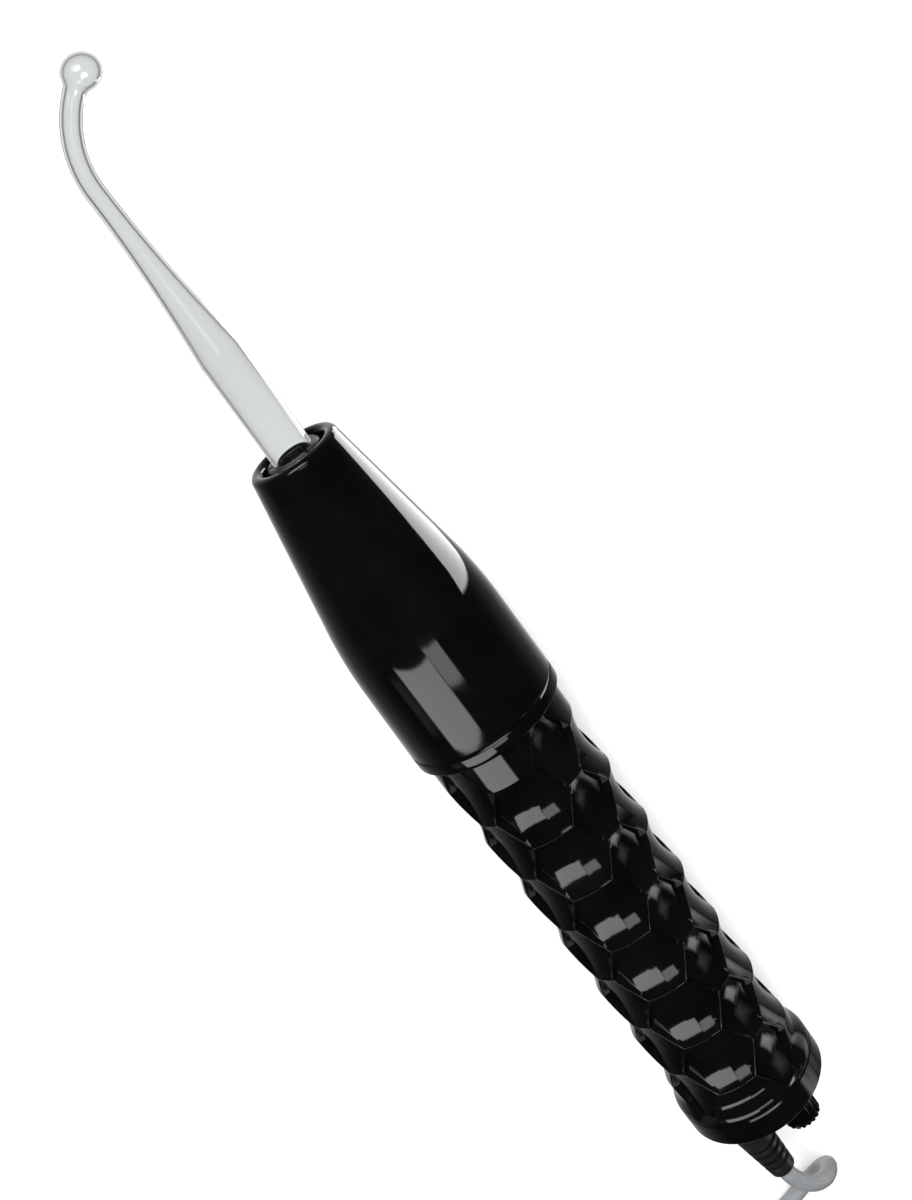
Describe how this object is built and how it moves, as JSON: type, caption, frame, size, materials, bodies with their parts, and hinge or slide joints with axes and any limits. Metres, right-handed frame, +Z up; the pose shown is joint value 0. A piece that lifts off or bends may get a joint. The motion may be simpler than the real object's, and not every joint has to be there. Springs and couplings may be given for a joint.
{
  "type": "violet ray machine",
  "caption": "Hand-held violet ray machine: black wand with a honeycomb grip, tapered nose with a bent glass electrode, intensity knob on the end cap and a corded plug.",
  "frame": {"origin": "on the surface the wand lies on, below the middle of the wand with its electrode and strain relief", "axes": "+X along the wand from the end cap to the electrode, +Z up from the surface it lies on, the electrode bends toward -Y"},
  "size_m": [0.5239, 0.0608, 0.043],
  "materials": {
    "black_abs": "polished black moulded ABS",
    "soft_pvc": "satin black flexible PVC",
    "cord_pvc": "semi-gloss grey PVC sheath",
    "strap": "matt black strap",
    "clear_glass": "clear blown glass, evacuated",
    "nickel": "bright nickel plate",
    "black_screw": "blackened steel",
    "dark_collet": "dark moulded collet",
    "brass": "turned brass",
    "contact_silver": "contact metal",
    "soft_iron": "bare soft iron",
    "nylon": "natural nylon",
    "copper_wire": "enamelled copper winding under varnish",
    "capacitor_film": "dipped film capacitor",
    "board": "phenolic board",
    "former": "waxed former",
    "wire_red": "insulated wire"
  },
  "bodies": {
    "handle": {"nose_cone": "black_abs", "nose_collar": "black_abs", "grip_shell": "black_abs", "end_cap": "black_abs", "cap_screws": "black_screw", "spindle_bushing": "brass", "bushing_nut": "brass", "strain_relief": "soft_pvc", "socket_retainer": "nylon", "reed_clamp": "nickel", "reed_screws": "nickel", "interrupter_frame": "soft_iron", "frame_screws": "nickel", "magnet_core": "soft_iron", "magnet_bobbin": "nylon", "magnet_winding": "copper_wire", "capacitor": "capacitor_film", "chassis_board": "board", "board_screws": "nickel", "terminal_block": "nylon", "terminal_screws": "brass", "cord_tail": "cord_pvc", "hookup_wires": "wire_red", "resonator_former": "former", "secondary_winding": "copper_wire", "primary_winding": "copper_wire", "cord_lead": "cord_pvc", "cord_coil": "cord_pvc", "coil_tie": "strap", "plug_lead": "cord_pvc", "plug_body": "soft_pvc", "plug_pins": "nickel"},
    "collet": {"socket_collet": "dark_collet"},
    "electrode": {"electrode_glass": "clear_glass", "electrode_ferrule": "nickel"},
    "plunger": {"contact_plunger": "brass", "contact_spring": "nickel"},
    "knob": {"intensity_knob": "black_abs", "knob_spindle": "nickel"},
    "carriage": {"contact_carriage": "board", "fixed_contact": "contact_silver"},
    "armature": {"armature_reed": "nickel", "armature_iron": "soft_iron", "moving_contact": "contact_silver"}
  },
  "joints": [
    {"name": "electrode_turn", "type": "hinge", "parent": "handle", "child": "collet", "pos_m": [0.06209, 0, 0.0215], "axis": [1, 0, 0], "continuous": true},
    {"name": "electrode_pull", "type": "slide", "parent": "collet", "child": "electrode", "axis": [1, 0, 0], "range_m": [0, 0.026]},
    {"name": "plunger_press", "type": "slide", "parent": "handle", "child": "plunger", "axis": [-1, 0, 0], "range_m": [0, 0.003], "stiffness_N_per_m": 200, "deforming": ["contact_spring"]},
    {"name": "knob_turn", "type": "hinge", "parent": "handle", "child": "knob", "pos_m": [-0.1541, -0.0062, 0.0265], "axis": [1, 0, 0], "range_deg": [0, 300]},
    {"name": "carriage_slide", "type": "slide", "parent": "handle", "child": "carriage", "axis": [1, 0, 0], "range_m": [0, 0.000583]},
    {"name": "armature_swing", "type": "hinge", "parent": "handle", "child": "armature", "pos_m": [-0.1159, 0.008, 0.023], "axis": [0, 0, 1], "range_deg": [0, 2.5], "stiffness_Nm_per_rad": 0.2}
  ],
  "couplings": [
    {"joint": "knob_turn", "follows": "carriage_slide", "rad_per_m": 8976}
  ]
}
